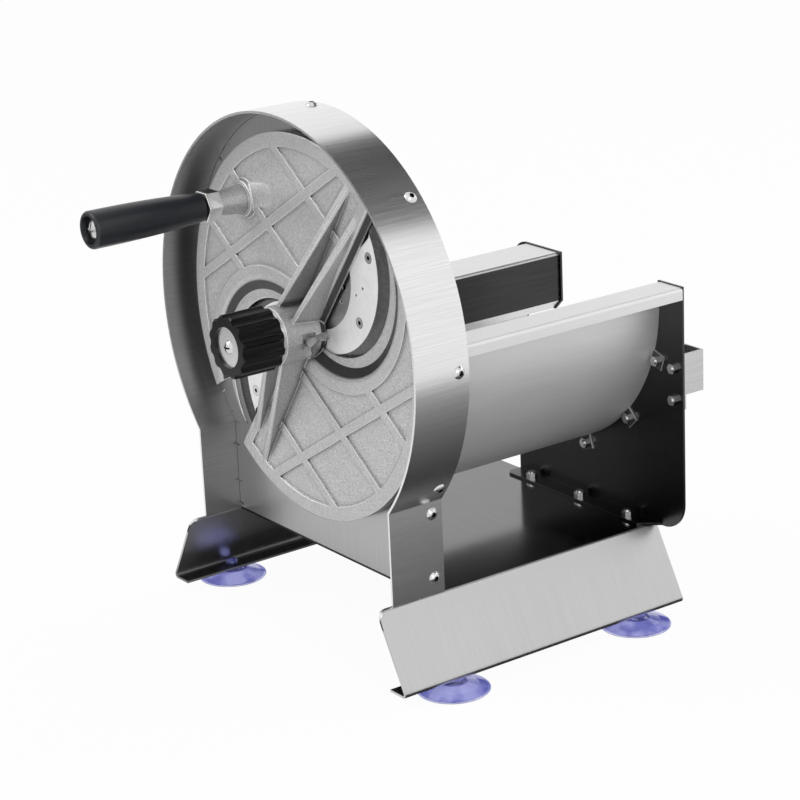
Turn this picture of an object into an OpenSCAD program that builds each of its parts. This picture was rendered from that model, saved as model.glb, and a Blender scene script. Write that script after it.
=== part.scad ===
// Hand crank vegetable slicer.
// X is to the right, Y runs back along the spindle, Z is up, in millimetres.
// The origin lies on the table, in the middle plane, at the front panel's front face.
// Names that end in _f are distances forward of that face, and so run along -Y.

/* [Spindle height] */
// Height of the spindle's axis above the table
axis_z = 200; // [192:1:215]

/* [Base] */
// Height of the deck's top above the table
deck_z = 54.7; // [48:0.1:62]
// Half of the deck's width
deck_half_w = 103.3; // [98:0.1:110]
// Half of the width over the splayed flanges
foot_half_w = 129.2; // [124:0.1:136]
// Width of the lip along the foot of each flange
lip_w = 16.8; // [14:0.1:20]
// How far the flanges reach in front of the panel
base_front_f = 38; // [30:1:45]
// Depth from the panel's front face to the rear plate's back
body_d = 179.5; // [165:0.5:195]
// Thickness of the base sheet
base_t = 1.5; // [1:0.1:2]
// Outer radius of the base's bends
base_bend_r = 2.5; // [2.2:0.1:4]
// Radius of the flanges' front top corners
base_corner_r = 7; // [3:0.5:10]

/* [Suction cups] */
// Height that the cups hold the base above the table
cup_h = 7.2; // [6:0.1:9]
// Radius of a cup's rim
cup_r = 22.5; // [19:0.5:24]
// Place of the front cups behind the panel's front face
cup_front_y = 2; // [0:0.5:8]
// Place of the rear cups behind the panel's front face
cup_rear_y = 145.5; // [138:0.5:150]
// Radius of the stem that goes through the lip
cup_stem_r = 2.6; // [2:0.1:3]
// Radius of the mushroom head above the lip
cup_head_r = 3.9; // [3.4:0.1:4]

/* [Hoop and front panel] */
// Outer radius of the hoop
hoop_r = 135; // [133:0.5:138]
// Thickness of the hoop's band
hoop_t = 1.5; // [1:0.1:2]
// How far the hoop reaches in front of the panel
hoop_front_f = 26.7; // [22:0.1:30]
// How far the hoop reaches behind the panel's front face
hoop_back_y = 11.5; // [10:0.1:14]
// Thickness of the front panel
panel_t = 1.5; // [1:0.1:2]
// Length of the tabs bent back from the panel
tab_l = 8.4; // [7:0.1:9]
// Width of those tabs
tab_w = 14; // [10:0.5:18]
// Place of the hoop's screws behind the panel's front face
hoop_screw_y = 4.3; // [3.8:0.1:4.4]
// Height of the upper screws in the hoop's legs
leg_screw_top_z = 105.5; // [98:0.5:106]
// Height of the lower screws in the hoop's legs
leg_screw_low_z = 65; // [64:0.5:74]

/* [Trough] */
// How far the trough's floor lies inside the panel's round edge
trough_inset = 24.45; // [23.2:0.05:26]
// Thickness of the trough's sheet
trough_t = 1.2; // [0.8:0.1:1.5]
// Height of the trough's top above the spindle's axis
trough_top_h = 13.8; // [10:0.1:15]
// Width of the flange along the right wall's top
trough_flange_w = 22.6; // [18:0.1:23]
// Height of that flange's down-turned edge
trough_lip_h = 7.5; // [5:0.1:10]
// Height of the left wall's top above the spindle's axis
left_wall_h = 6; // [2:0.5:10]
// How far the ears for the trough's screws stand out
ear_l = 9.5; // [8:0.1:11]
// Width of an ear
ear_w = 9.6; // [8:0.1:12]

/* [Spindle cover] */
// Reach of the cover to the left of the axis
cover_left = 19.2; // [18:0.1:21]
// Reach of the cover to the right of the axis
cover_right = 14.7; // [14.4:0.1:16]
// Drop from the axis to where the cover's right side folds in
cover_drop = 18; // [16:0.1:20]
// Width and height of the folded-in strip
cover_fold = 6.6; // [4:0.1:8]

/* [Rear plate] */
// Thickness of the rear plate
plate_t = 1.5; // [1:0.1:2]
// Reach of the rear plate to the left of the axis
plate_left = 31; // [31:0.5:40]
// How far the plate stands above the trough's top
plate_over = 0.6; // [0.1:0.1:3]
// Radius of the plate's lower right corner
plate_low_r = 19; // [12:0.5:22]
// Radius of the plate's upper left corner
plate_top_r = 12; // [4:0.5:14]
// Width of the plate's foot on the deck
plate_foot_w = 12; // [11:0.5:16]

/* [Rear bracket] */
// Width of the bracket's box
bracket_w = 16; // [15:0.5:18]
// Depth of the box behind the plate
bracket_d = 15.5; // [13:0.5:18]
// Height of the box
bracket_h = 26.2; // [24:0.1:32]
// Height of the box's floor above the deck
bracket_up = 90.8; // [85:0.1:96]
// Thickness of the bracket's sheet
bracket_t = 1.2; // [1:0.1:1.6]
// How far the tab for the lower screw hangs below the box
bracket_tab_h = 9.4; // [9.2:0.1:12]

/* [Stop plate] */
// Outer radius of the cast stop plate
rotor_r = 120; // [117:0.5:122]
// Gap from the panel to the plate's rear face, the stop surface
stop_f = 6.2; // [6.2:0.1:6.6]
// Thickness of the plate over its raised bars
rotor_t = 4.4; // [3.6:0.1:6]
// Depth of the pockets between the bars
pocket_d = 1; // [0.5:0.1:1.4]
// Width of the raised rim
rim_w = 9.3; // [6:0.1:12]
// Width of the raised bars
bar_w = 6; // [4:0.1:8]
// Width of the raised border round each opening
border_w = 7; // [4:0.1:9]
// Distance of the long bar from the axis
long_bar_off = 68; // [60:0.5:76]
// Distance of the first cross bar from the axis
cross_bar_a = 74; // [68:0.5:80]
// Distance of the second cross bar from the axis
cross_bar_b = 27; // [22:0.5:32]
// Distance of the third cross bar on the axis's other side
cross_bar_c = 19; // [14:0.5:24]

/* [Openings in the stop plate] */
// Radius of an opening at the plate's front
mouth_r = 67; // [64:0.5:68]
// Place of that circle along X
mouth_x = 33.2; // [31:0.1:35]
// Place of that circle along Z
mouth_z = 41.8; // [40:0.1:43]
// Radius of the cone's foot, at the lip's outer edge
throat_r = 56.4; // [54:0.1:57]
// Place of that circle along X
throat_x = 36.3; // [35:0.1:37.5]
// Place of that circle along Z
throat_z = 40.6; // [39:0.1:42]
// Radius of the lip's inner edge
lip_r = 57.6; // [56:0.1:58.4]
// Place of that circle along X
lip_x = 29.9; // [29:0.1:31]
// Place of that circle along Z
lip_z = 46.3; // [45:0.1:47.5]
// Thickness of the lip
lip_t = 1; // [0.6:0.1:1.6]
// Distance of the opening's straight edge from the axis
seat_off = 6.5; // [5:0.1:8]
// How far that edge slopes in towards the rear
seat_slope = 4; // [2:0.1:5]

/* [Ribs and sleeve] */
// Radius of the central sleeve
sleeve_r = 18.1; // [17.6:0.1:20]
// Front end of the sleeve
sleeve_f = 34.1; // [32:0.1:36]
// Reach of the outer rib from the axis
rib_a_l = 111; // [100:0.5:113]
// Distance of the outer rib from the line through the axis
rib_a_off = 10; // [8:0.1:11]
// Reach of the inner rib from the axis
rib_b_l = 100; // [90:0.5:104]
// Distance of the inner rib on the axis's other side
rib_b_off = 5.8; // [4:0.1:7]
// Front end of the ribs at the sleeve
rib_f = 29; // [24:0.1:31]
// Width of a rib at the plate
rib_foot_w = 6; // [4.5:0.1:7]
// Width of a rib's crest
rib_crest_w = 2.4; // [1.5:0.1:3.5]
// Width of the slit in the sleeve
slit_w = 1; // [0.6:0.1:1.5]
// Front end of that slit
slit_f = 23; // [18:0.5:26]
// Place of the wing screw forward of the panel
wing_f = 18.6; // [18:0.1:20]

/* [Crank] */
// Place of the crank's boss along X, to the left of the axis
crank_x = 58.1; // [54:0.1:62]
// Place of the crank's boss above the axis
crank_z = 71; // [66:0.1:74]
// Radius of the boss at the plate
boss_foot_r = 9.75; // [9:0.05:11]
// Radius of the boss at its end
boss_end_r = 7.1; // [6.5:0.05:8]
// Front end of the boss
boss_f = 31.3; // [26:0.1:33]
// Length of the mound that fairs the boss into the plate
mound_l = 24; // [16:1:52]
// Height of that mound beside the boss
mound_h = 2.4; // [1.5:0.1:9]
// Thickness of the lock nut
crank_nut_t = 9.6; // [7:0.1:10]
// Width of the lock nut across its flats
crank_nut_af = 18; // [14:0.1:20]
// Radius of the crank bolt
crank_bolt_r = 4; // [3:0.1:4.5]
// Radius of the grip at its outer end
grip_r = 11.6; // [10.6:0.1:15]
// Radius of the grip beside the nut
grip_neck_r = 8.8; // [8:0.1:10]
// Length of the grip
grip_l = 78.2; // [70:0.1:100]
// Radius of the recess in the grip's end
grip_recess_r = 8.6; // [8:0.1:9.5]
// Depth of that recess
grip_recess_d = 4.4; // [4:0.1:6]
// Length of a bush in the grip
grip_bush_l = 12; // [8:0.5:16]
// Wall of those bushes
grip_bush_wall = 1.6; // [1.2:0.1:2.2]

/* [Blades and carrier] */
// Thickness of a blade
blade_t = 1.5; // [1.2:0.1:2]
// Gap between the stop surface and the blades' front face
blade_gap = 0.3; // [0.2:0.05:0.4]
// Radius of the cutting edge
edge_r = 57.6; // [55:0.1:58.5]
// Place of that circle along X
edge_x = 28.1; // [27:0.1:29]
// Place of that circle along Z
edge_z = 45.6; // [44:0.1:47]
// Radius of the bevel's inner border
bevel_r = 55.4; // [53:0.1:56]
// Place of that circle along X
bevel_x = 18.4; // [17:0.1:20]
// Place of that circle along Z
bevel_z = 43.8; // [42:0.1:45]
// Radius of the blade's inner arc
inner_r = 36.2; // [34:0.1:38]
// Place of that circle along X
inner_x = 10; // [8:0.1:12]
// Place of that circle along Z
inner_z = 37.7; // [36:0.1:40]
// Thickness left at the cutting edge
edge_t = 0.15; // [0.1:0.05:0.3]
// Thickness of the carrier's arms
carrier_t = 3.3; // [2.6:0.1:3.8]
// Radius of the carrier's arms about the cutting edge's centre
carrier_r = 45; // [43:0.1:47]
// Radius of the carrier's hub
carrier_hub_r = 18.6; // [17:0.1:20]

/* [Spindle and bearings] */
// Radius of the spindle where the sleeve slides
spindle_r = 8; // [7:0.1:8.5]
// Radius of the spindle in the bearings and of its thread
journal_r = 6; // [5:0.1:6.5]
// Front end of the spindle
spindle_f = 55; // [50:0.5:55]
// Outer radius of a bearing
bearing_r = 10.5; // [9.8:0.1:11]
// Width of a bearing
bearing_w = 5; // [4:0.1:6]
// Radius of a bearing ball
ball_r = 1.25; // [1:0.05:1.4]
// Balls in each bearing
ball_n = 10; // [8:1:11]
// Wall of the bearing housings
housing_wall = 1.9; // [1.5:0.1:1.9]
// Thickness of the retaining ring
ring_t = 1; // [0.8:0.1:1.4]
// Radius of the drive pins
pin_r = 2.5; // [2:0.1:2.8]
// Travel of the stop plate from thinnest to thickest slice
travel = 10; // [6:0.5:11]
// Radius of the spring's wire
wire_r = 0.8; // [0.6:0.05:0.9]
// Turns of the spring
spring_turns = 3.5; // [3:0.5:4]

/* [Knob] */
// Largest radius of the knob
knob_r = 19.6; // [18:0.1:21]
// Length of the knob
knob_l = 29.5; // [26:0.1:34]
// Radius of the flutes round the knob
flute_r = 4.7; // [3:0.1:5]
// Depth of those flutes
flute_d = 2.3; // [1:0.1:2.6]
// Flutes round the knob
flute_n = 12; // [8:1:16]
// Radius of the disc in the knob's face
disc_r = 12.5; // [10:0.1:13]
// Thickness of that disc
disc_t = 1.2; // [0.8:0.1:2]
// How deep the disc lies in the knob's face
disc_d = 1.5; // [1:0.1:2.5]
// Radius of the threaded insert
insert_r = 8; // [7.6:0.1:9]
// Thickness of the thrust washer
washer_t = 2; // [1.5:0.1:3]

/* [Screws] */
// Radius of the small screws
screw_r = 2; // [1.5:0.1:2.2]
// Radius of their button heads
head_r = 3.85; // [3.4:0.05:4]
// Height of those heads
head_h = 2.2; // [1.8:0.1:2.6]
// Width of their nuts across the flats
nut_af = 6; // [5.5:0.1:7.4]
// Thickness of those nuts
nut_t = 2.8; // [2.4:0.1:4]

/* [Hidden] */

$fn = 96;
hull_fn = 64;
bend_steps = 6;

// One overrun for every cut, and the gaps between pieces
cut = 1;
skin = 0.01;
fit = 0.03;
slide_fit = 0.06;
thread_fit = 0.05;
hole_fit = 0.2;
rest_gap = 0.3;

// Angles, all counted from +X towards +Z
hoop_screw_angles = [90, 45, 0, -34.5, 135, 180, 214.5];
ear_angles = [-18.7, -44.8, -70];
long_bar_a = 31;
cross_bar_a_deg = -36.5;
rib_a = 56;
seat_a = 53.5;
arm_end_a = 30;
slit_a = -69.5;
wing_a = -7;
mound_a = 14;
pin_angle = 45;

// Shares of the sizes that the places follow
deck_screw_shares = [-0.116, 0.358, 0.813];
socket_share = 0.44;
socket_depth_share = 0.75;
neck_share = 0.4;
bracket_screw_share = 0.6;

// Base
foot_z = cup_h;
cup_x = foot_half_w - lip_w / 2;

// Cups
cup_wall = 1.4;
cup_rim_w = 2.6;
cup_edge_h = 1.2;
cup_neck_r = 7;
cup_head_h = 3.2;

// Hoop and panel
panel_gap = 0.25;
tab_gap = 0.001;
hoop_in_r = hoop_r - hoop_t;
leg_in_x = deck_half_w - hoop_t;
panel_r = hoop_in_r - panel_gap;
panel_half_w = leg_in_x - panel_gap;
panel_foot_w = 12;
notch_w = 1.6;
notch_d = 3.2;
leg_screw_heights = [leg_screw_top_z, leg_screw_low_z];
hoop_screw_l = 6;

// Trough and cover
trough_r = panel_r - trough_inset;
trough_top_z = axis_z + trough_top_h;
trough_bend_r = 2.2;
plate_y = body_d - plate_t;
fold_z = axis_z - cover_drop;
cover_foot_z = fold_z - cover_fold;
ear_r = trough_r + trough_t + ear_l / 2;

// Rear plate
plate_top_z = trough_top_z + plate_over;
plate_right = trough_r + trough_flange_w - 2 * panel_gap;
tongue_right = cover_right + trough_t + rest_gap;
foot_hole_y = plate_y - plate_foot_w / 2;

// Bracket
bracket_z = deck_z + bracket_up;
bracket_x = plate_right - bracket_w / 2;
bracket_low_z = bracket_z - bracket_tab_h / 2;
bracket_high_z = bracket_z + bracket_h * bracket_screw_share;

// Stop plate
face_f = stop_f + rotor_t;
floor_f = face_f - pocket_d;
throat_f = stop_f + lip_t;
mouth_centre = [mouth_x, mouth_z];
throat_centre = [throat_x, throat_z];
lip_centre = [lip_x, lip_z];
reach = 2 * rotor_r;

// Blades and carrier
blade_f = stop_f - blade_gap;
arm_f = blade_f - blade_t;
carrier_back_f = arm_f - carrier_t;
edge_centre = [edge_x, edge_z];
bevel_centre = [bevel_x, bevel_z];
inner_centre = [inner_x, inner_z];
blade_root_r = carrier_hub_r + rest_gap;
// Outline of the blade's upper end, as shares of the cutting edge's radius
blade_end_shares = [[1.25, 2.3], [1.179, 1.333], [1.158, 1.186], [0.734, 0.806],
                    [0.15, 0.2], [-0.15, 0.08], [-1, -0.15], [-1, 2.3]];
// Places of the screws and dowels, as shares of the same radius
blade_screw_shares = [[1.13, 0.969], [0.92, 0.243]];
dowel_shares = [[0.889, 0.531], [1.009, 0.625]];
carrier_screw_shares = [[0.64, 0.555], [0.573, 0.392]];
dowel_r = 0.9;
csk_r = 3.3;
carrier_screw_r = 2.4;
carrier_screw_small_r = 1.5;

// Spindle, bearings, pins and spring
housing_lip = 0.6;
housing_back_t = 2;
front_bearing_y = panel_t + housing_lip;
housing_r = bearing_r + housing_wall;
shaft_hole_r = spindle_r + cut;
rear_bearing_y = plate_y - housing_lip - bearing_w;
spindle_back_y = rear_bearing_y + bearing_w + ring_t + 2 * cut;
ball_track_r = (journal_r + bearing_r) / 2;
race_half_gap = ball_r * neck_share;
sleeve_bush_wall = 3;
sleeve_bore_r = spindle_r + sleeve_bush_wall;
spring_room = 9.8;
bush_back_f = stop_f + spring_room;
pin_track_r = (sleeve_bore_r + sleeve_r) / 2;
pin_front_f = stop_f + 2 * travel;
ring_w = 2.4;
ring_r = journal_r + ring_w;
ring_groove_d = 0.5;
spring_track_r = spindle_r + wire_r + rest_gap;
spring_back_f = arm_f + wire_r + fit;
spring_front_f = bush_back_f - wire_r - fit;
spring_rings = 16;
spring_sides = 8;

// Knob
washer_f = sleeve_f + fit;
knob_back_f = washer_f + washer_t + fit;
knob_front_f = knob_back_f + knob_l;
disc_front_f = knob_front_f - disc_d;
disc_back_f = disc_front_f - disc_t;
insert_back_f = knob_back_f + rest_gap;
insert_bore_f = spindle_f + cut;
insert_front_f = disc_back_f;
knob_edge = 0.9;
knob_screw_head_r = 4.4;
knob_screw_head_h = 2.4;

// Crank
crank_place = [-crank_x, 0, axis_z + crank_z];
crank_nut_f = boss_f + crank_nut_t;
grip_back_f = crank_nut_f + rest_gap;
grip_front_f = grip_back_f + grip_l;
grip_floor_f = grip_front_f - grip_recess_d;
crank_bolt_back_f = stop_f + rotor_t;
crank_head_r = 7.2;
crank_head_h = 3;
grip_edge_r = 1.6;
edge_step = 15;
grip_steps = 8;
grip_power = 2.5;
grip_neck = 1.2;
mound_steps = 5;
mound_tip_r = 7;
mound_tip_h = 0.6;
collar_w = 2.6;
collar_h = 2.8;
cross_share = 0.7;
nut_corner_shares = [0.68, 0.55];
cross_w = 1.2;
cross_d = 1.6;

// Wing screw
wing_screw_r = 2.5;
wing_body_r = 3.6;
wing_body_l = 4.6;
wing_out = 9.6;
wing_half_w = 10;
wing_t = 2;
wing_tilt = 38;
// Outline of the two wings, as shares of their half width and height
wing_shares = [
    [-0.36, 0], [0.36, 0], [0.8, 0.3], [1, 0.62], [0.98, 0.86], [0.82, 1], [0.62, 0.96], [0.36, 0.52],
    [-0.36, 0.52], [-0.62, 0.96], [-0.82, 1], [-0.98, 0.86], [-1, 0.62], [-0.8, 0.3]
];
wing_seat_w = 9.6;
wing_seat_d = 1.2;

// Directions and sheet outlines

function unit(v) = v / norm(v);
function left_of(v) = [-v.y, v.x];
function turned(v, a) = [v.x * cos(a) - v.y * sin(a), v.x * sin(a) + v.y * cos(a)];

// Points and normals round one bend of a sheet's outline
function bend(a, b, c, r) =
    let (d1 = unit(b - a))
    let (d2 = unit(c - b))
    let (sweep = atan2(d1.x * d2.y - d1.y * d2.x, d1 * d2))
    let (side = sign(sweep))
    let (start = b - d1 * r * tan(abs(sweep) / 2))
    let (centre = start + side * r * left_of(d1))
    [for (i = [0:bend_steps])
        let (n = turned(left_of(d1), sweep * i / bend_steps))
        [centre - side * r * n, n]];

// Points and normals along the whole outline of a bent sheet
function sheet_line(pts, r) =
    let (last = len(pts) - 1)
    concat(
        [[pts[0], left_of(unit(pts[1] - pts[0]))]],
        [for (i = [1:last - 1]) each bend(pts[i - 1], pts[i], pts[i + 1], r)],
        [[pts[last], left_of(unit(pts[last] - pts[last - 1]))]]
    );

// Cross-section of a bent sheet: a line of bends, with the thickness to its left
module sheet(pts, r, t) {
    line = sheet_line(pts, r);
    polygon(concat(
        [for (p = line) p[0]],
        [for (i = [len(line) - 1:-1:0]) line[i][0] + t * line[i][1]]
    ));
}

// Placing

module along_y(y0, y1) {
    translate([0, y1, 0]) rotate([90, 0, 0]) linear_extrude(y1 - y0) children();
}

module forward(f0, f1) {
    along_y(-f1, -f0) children();
}

module along_x(x0, x1) {
    translate([x0, 0, 0]) rotate([90, 0, 90]) linear_extrude(x1 - x0) children();
}

module on_axis() {
    translate([0, 0, axis_z]) children();
}

// The given half of the rotor and its twin, half a turn on
module both_halves() {
    on_axis() children();
    on_axis() rotate([0, 180, 0]) children();
}

module box(x0, x1, y0, y1, z0, z1) {
    translate([x0, y0, z0]) cube([x1 - x0, y1 - y0, z1 - z0]);
}

module area(x0, x1, z0, z1) {
    translate([x0, z0]) square([x1 - x0, z1 - z0]);
}

module revolved() {
    rotate([-90, 0, 0]) rotate_extrude() children();
}

// A ring about the spindle's axis, from f0 to f1 forward of the panel
module ring(f0, f1, r_in, r_out) {
    forward(f0, f1) difference() {
        circle(r_out);
        circle(r_in);
    }
}

// What lies outside a rounded corner, to be cut off
module corner_waste(r) {
    difference() {
        translate([-cut, -cut]) square(r + cut);
        translate([r, r]) circle(r);
    }
}

// Fasteners, with the seat at Z = 0 and the head above it

module dome(r, h) {
    ball = (r * r + h * h) / (2 * h);
    intersection() {
        translate([0, 0, h - ball]) sphere(ball);
        cylinder(r = r, h = h);
    }
}

module button_screw(l) {
    difference() {
        union() {
            dome(head_r, head_h);
            translate([0, 0, -l]) cylinder(r = screw_r, h = l + head_h / 2);
        }
        translate([0, 0, head_h * (1 - socket_depth_share)])
            cylinder(r = head_r * socket_share, h = head_h, $fn = 6);
    }
}

module hex(af, t) {
    cylinder(r = af / sqrt(3), h = t, $fn = 6);
}

module nut() {
    difference() {
        hex(nut_af, nut_t);
        translate([0, 0, -cut]) cylinder(r = screw_r + thread_fit, h = nut_t + 2 * cut);
    }
}

module cross_slot(r, top) {
    for (a = [0, 90])
        rotate([0, 0, a]) translate([-r, -cross_w / 2, top - cross_d]) cube([2 * r, cross_w, cross_d + cut]);
}

// Local +Z looks forward, out of the panel's front
module facing_front(x, f, z) {
    translate([x, -f, z]) rotate([90, 0, 0]) children();
}

// Local +Z looks back
module facing_back(x, y, z) {
    translate([x, y, z]) rotate([-90, 0, 0]) children();
}

// Local +Z looks out from the spindle's axis, at the angle a
module facing_out(a, y, r) {
    translate([0, y, axis_z]) rotate([0, -a, 0]) translate([r, 0, 0]) rotate([0, 90, 0]) children();
}

// Base

module base_outline() {
    sheet([
        [foot_half_w - lip_w, foot_z], [foot_half_w, foot_z], [deck_half_w, deck_z],
        [-deck_half_w, deck_z], [-foot_half_w, foot_z], [-foot_half_w + lip_w, foot_z]
    ], base_bend_r, base_t);
}

module deck_places() {
    for (s = deck_screw_shares)
        translate([s * deck_half_w, foot_hole_y, 0]) children();
}

module cup_places() {
    for (side = [-1, 1])
        for (y = [cup_front_y, cup_rear_y])
            translate([side * cup_x, y, 0]) children();
}

module base_frame() {
    color([0.62, 0.62, 0.63]) difference() {
        along_y(-base_front_f, body_d) base_outline();
        box(base_bend_r - deck_half_w, deck_half_w - base_bend_r, -base_front_f - cut, 0,
            deck_z - base_bend_r, deck_z + cut);
        along_x(-foot_half_w, foot_half_w)
            translate([-base_front_f, deck_z]) mirror([0, 1]) corner_waste(base_corner_r);
        deck_places() translate([0, 0, deck_z - base_bend_r])
            cylinder(r = screw_r + hole_fit, h = 2 * base_bend_r);
        cup_places() translate([0, 0, foot_z - cut])
            cylinder(r = cup_stem_r + hole_fit, h = base_t + 2 * cut);
    }
}

module suction_cups() {
    under = foot_z - fit;
    over = foot_z + base_t + fit;
    color([0.36, 0.36, 0.85]) cup_places() rotate_extrude() polygon([
        [cup_r, 0], [cup_r, cup_edge_h / 2], [cup_r - cup_edge_h, cup_edge_h],
        [cup_neck_r + cup_wall, under - cup_wall], [cup_neck_r, under],
        [cup_stem_r, under], [cup_stem_r, over], [cup_head_r, over],
        [cup_head_r, over + cup_head_h / 3], [cup_head_r - cup_head_h / 3, over + cup_head_h],
        [0, over + cup_head_h],
        [0, under - 2 * cup_wall], [cup_neck_r - cup_wall, under - 2 * cup_wall], [cup_r - cup_rim_w, 0]
    ]);
}

// Front panel and hoop

module feed_outline(right_of_axis) {
    difference() {
        union() {
            intersection() {
                translate([0, axis_z]) circle(trough_r);
                area(-cover_left, trough_r, axis_z - trough_r - cut, axis_z);
            }
            area(right_of_axis, trough_r, axis_z - cut, trough_top_z);
            area(-cover_left, trough_r, axis_z - cover_drop - cover_fold - cut, axis_z);
        }
        polygon([
            [-2 * cover_left, axis_z + cover_drop * 2], [right_of_axis, axis_z + cover_drop * 2],
            [right_of_axis, fold_z], [right_of_axis - cover_fold, cover_foot_z],
            [-2 * cover_left, cover_foot_z]
        ]);
        translate([0, axis_z]) difference() {
            circle(reach);
            circle(trough_r);
            area(-reach, reach, 0, reach);
        }
    }
}

module panel_outline() {
    translate([0, axis_z]) circle(panel_r);
    area(-panel_half_w, panel_half_w, deck_z, axis_z);
}

// The tab of one hoop screw, with a notch at each of its sides where it bends
module round_tab(a) {
    translate([0, 0, axis_z]) rotate([0, -a, 0])
        box(panel_r - panel_t, panel_r - tab_gap, 0, tab_l, -tab_w / 2, tab_w / 2);
}

module round_notches(a) {
    translate([0, 0, axis_z]) rotate([0, -a, 0])
        for (side = [-1, 1])
            translate([panel_r - notch_d, -cut, side * (tab_w + notch_w) / 2 - notch_w / 2])
                cube([2 * notch_d, panel_t + 2 * cut, notch_w]);
}

module leg_tab(side, z) {
    inner = panel_half_w - panel_t;
    x0 = side > 0 ? inner : -panel_half_w;
    box(x0, x0 + panel_t, 0, tab_l, z - tab_w / 2, z + tab_w / 2);
}

module leg_notches(side, z) {
    for (end = [-1, 1])
        translate([side * panel_half_w - notch_d, -cut, z + end * (tab_w + notch_w) / 2 - notch_w / 2])
            cube([2 * notch_d, panel_t + 2 * cut, notch_w]);
}

module hoop_screw_places(r, x) {
    for (a = hoop_screw_angles)
        facing_out(a, hoop_screw_y, r) children();
    for (side = [-1, 1])
        for (z = leg_screw_heights)
            translate([side * x, hoop_screw_y, z]) rotate([0, side * 90, 0]) children();
}

module front_panel() {
    color([0.66, 0.66, 0.67]) difference() {
        union() {
            difference() {
                along_y(0, panel_t) difference() {
                    panel_outline();
                    feed_outline(cover_right);
                    translate([0, axis_z]) circle(shaft_hole_r);
                }
                for (a = hoop_screw_angles) round_notches(a);
                for (side = [-1, 1])
                    for (z = leg_screw_heights) leg_notches(side, z);
            }
            for (a = hoop_screw_angles) round_tab(a);
            for (side = [-1, 1])
                for (z = leg_screw_heights) leg_tab(side, z);
            box(panel_foot_w - panel_half_w, panel_half_w - panel_foot_w, 0, panel_foot_w,
                deck_z, deck_z + panel_t);
        }
        hoop_screw_places(panel_r - 2 * panel_t, panel_half_w - 2 * panel_t)
            cylinder(r = screw_r + thread_fit, h = 3 * panel_t);
    }
}

module hoop() {
    color([0.8, 0.8, 0.82]) difference() {
        along_y(-hoop_front_f, hoop_back_y) difference() {
            union() {
                translate([0, axis_z]) circle(hoop_r);
                area(-deck_half_w, deck_half_w, deck_z, axis_z);
            }
            translate([0, axis_z]) circle(hoop_in_r);
            area(-leg_in_x, leg_in_x, deck_z - reach, axis_z);
        }
        hoop_screw_places(hoop_in_r - hoop_t, leg_in_x - hoop_t)
            cylinder(r = screw_r + hole_fit, h = 3 * hoop_t);
    }
}

module hoop_screws() {
    color([0.75, 0.75, 0.76]) hoop_screw_places(hoop_r + fit, deck_half_w + fit)
        button_screw(hoop_screw_l);
}

// Trough and spindle cover

module trough_outline() {
    right = trough_r + trough_flange_w;
    left = sqrt(pow(trough_r, 2) - pow(cover_left, 2));
    sheet([
        [right, trough_top_z - trough_lip_h], [right, trough_top_z],
        [trough_r, trough_top_z], [trough_r, axis_z - skin]
    ], trough_bend_r, trough_t);
    translate([0, axis_z]) intersection() {
        difference() {
            circle(trough_r + trough_t);
            circle(trough_r);
        }
        area(-cover_left - trough_t, reach, -reach, 0);
    }
    area(-cover_left - trough_t, -cover_left, axis_z - left - trough_t / 4, axis_z + left_wall_h);
}

module ear_places() {
    for (a = ear_angles)
        translate([0, 0, axis_z]) rotate([0, -a, 0]) translate([ear_r, 0, 0]) rotate([0, a, 0]) children();
}

module trough() {
    color([0.83, 0.83, 0.84]) difference() {
        union() {
            along_y(panel_t, plate_y) trough_outline();
            for (a = ear_angles)
                translate([0, 0, axis_z]) rotate([0, -a, 0])
                    box(trough_r + trough_t / 2, trough_r + trough_t + ear_l, plate_y - trough_t, plate_y,
                        -ear_w / 2, ear_w / 2);
        }
        ear_places() facing_back(0, plate_y - 2 * trough_t, 0)
            cylinder(r = screw_r + hole_fit, h = 3 * trough_t);
    }
}

module spindle_cover() {
    color([0.55, 0.55, 0.56]) along_y(panel_t, plate_y) sheet([
        [-cover_left, cover_foot_z], [-cover_left, trough_top_z], [cover_right, trough_top_z],
        [cover_right, fold_z], [cover_right - cover_fold, cover_foot_z]
    ], trough_bend_r, -trough_t);
}

// Rear plate and what it carries

module plate_outline() {
    difference() {
        area(-plate_left, plate_right, deck_z, plate_top_z);
        feed_outline(tongue_right);
        area(tongue_right, trough_r, axis_z, plate_top_z + cut);
        translate([plate_right, deck_z]) mirror([1, 0]) corner_waste(plate_low_r);
        translate([-plate_left, plate_top_z]) mirror([0, 1]) corner_waste(plate_top_r);
        translate([0, axis_z]) circle(bearing_r + fit);
    }
}

module plate_hole() {
    cylinder(r = screw_r + hole_fit, h = plate_t + 2 * cut);
}

module rear_plate() {
    foot_right = plate_right - plate_low_r;
    color([0.16, 0.16, 0.17]) difference() {
        union() {
            along_y(plate_y, body_d) plate_outline();
            translate([0, 0, deck_z]) linear_extrude(plate_t) polygon([
                [-plate_left, body_d], [-plate_left, plate_y - plate_foot_w + plate_foot_w / 4],
                [-plate_left + plate_foot_w / 4, plate_y - plate_foot_w],
                [foot_right - plate_foot_w, plate_y - plate_foot_w], [foot_right, body_d]
            ]);
        }
        deck_places() translate([0, 0, deck_z - cut]) plate_hole();
        ear_places() facing_back(0, plate_y - cut, 0) plate_hole();
        bracket_places() facing_back(0, plate_y - cut, 0) plate_hole();
    }
}

module deck_screws() {
    l = base_t + plate_t + nut_t + cut;
    color([0.75, 0.75, 0.76]) deck_places()
        translate([0, 0, deck_z - base_t - fit]) mirror([0, 0, 1]) button_screw(l);
}

module deck_nuts() {
    color([0.7, 0.7, 0.72]) deck_places() translate([0, 0, deck_z + plate_t + fit]) nut();
}

module trough_screws() {
    l = plate_t + trough_t + nut_t + cut;
    color([0.75, 0.75, 0.76]) ear_places() facing_back(0, body_d + fit, 0) button_screw(l);
}

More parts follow.
